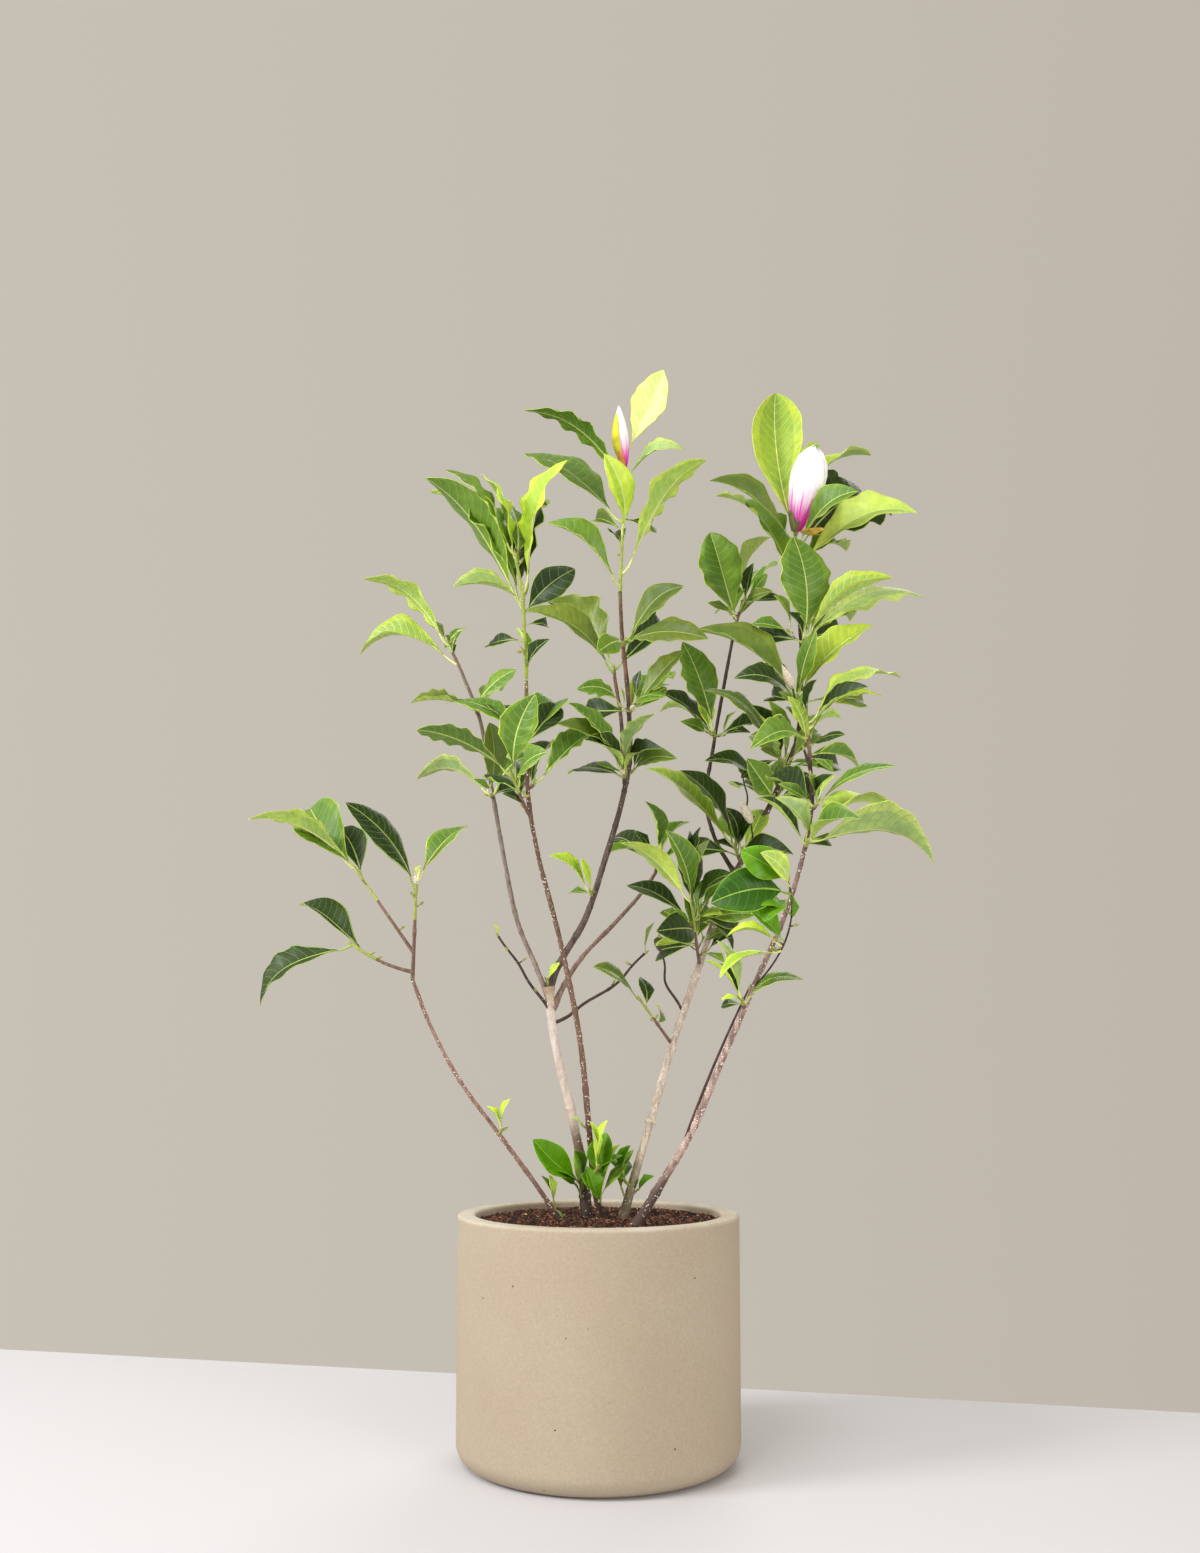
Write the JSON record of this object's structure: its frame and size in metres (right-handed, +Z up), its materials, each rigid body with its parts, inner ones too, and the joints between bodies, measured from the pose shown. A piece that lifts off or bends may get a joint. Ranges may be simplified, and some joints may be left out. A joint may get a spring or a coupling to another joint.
{
  "type": "potted jane magnolia",
  "caption": "Multi-stemmed young flowering shrub with bare lower stems and open masses of oval leaves, planted in a plain round stone pot filled with soil.",
  "frame": {"origin": "centre of the pot's flat underside, on the surface that the pot stands on", "axes": "+Z up, -Y towards the side that the picture shows, +X to the right in that view"},
  "size_m": [0.7551, 0.487, 1.2237],
  "materials": {
    "pot": "matte, finely speckled cast stone",
    "soil": "loose dark potting soil with bark fibre",
    "pale_bark": "smooth pale bark",
    "brown_bark": "reddish brown bark with pale dots",
    "pink_bark": "pinkish grey bark",
    "dark_bark": "dark grey brown bark",
    "foliage": "green leaves, slightly glossy above and matte below",
    "young_foliage": "young yellow green leaves"
  },
  "bodies": {
    "root": {"pot": "pot", "soil": "soil", "stem_slender": "brown_bark", "stem_pale": "pale_bark", "stem_brown": "brown_bark", "stem_tall": "pale_bark", "stem_front": "pink_bark", "bough_left": "brown_bark", "bough_top": "dark_bark", "bough_right": "brown_bark", "bough_dark": "dark_bark", "bough_back": "dark_bark", "bough_crown": "dark_bark", "foliage_low_left": "foliage", "foliage_left_top": "foliage", "foliage_third_top": "foliage", "foliage_left_upper": "foliage", "foliage_left_middle": "foliage", "foliage_third_left": "foliage", "foliage_third_upper": "foliage", "foliage_third_right": "foliage", "foliage_top": "foliage", "foliage_dark_top": "foliage", "foliage_middle_top": "foliage", "foliage_middle_right": "foliage", "foliage_fork": "foliage", "foliage_crown": "foliage", "foliage_crown_middle": "foliage", "foliage_crown_low": "foliage", "foliage_back_top": "foliage", "foliage_back_middle": "foliage", "foliage_tall_upper": "foliage", "foliage_tall_middle": "foliage", "foliage_front_top": "foliage", "foliage_front_upper": "foliage", "foliage_front_right": "foliage", "foliage_tall_low": "foliage", "foliage_inner": "foliage", "foliage_right_bough": "foliage", "foliage_front_low": "young_foliage", "foliage_front_foot": "foliage", "foliage_tall_foot": "foliage", "twig_pale_left": "foliage", "twig_pale_right": "foliage", "foliage_bough_foot": "foliage", "foliage_foot_left": "foliage", "foliage_foot_middle": "young_foliage", "foliage_foot_tall": "foliage", "foliage_foot_slender": "young_foliage"}
  },
  "joints": []
}
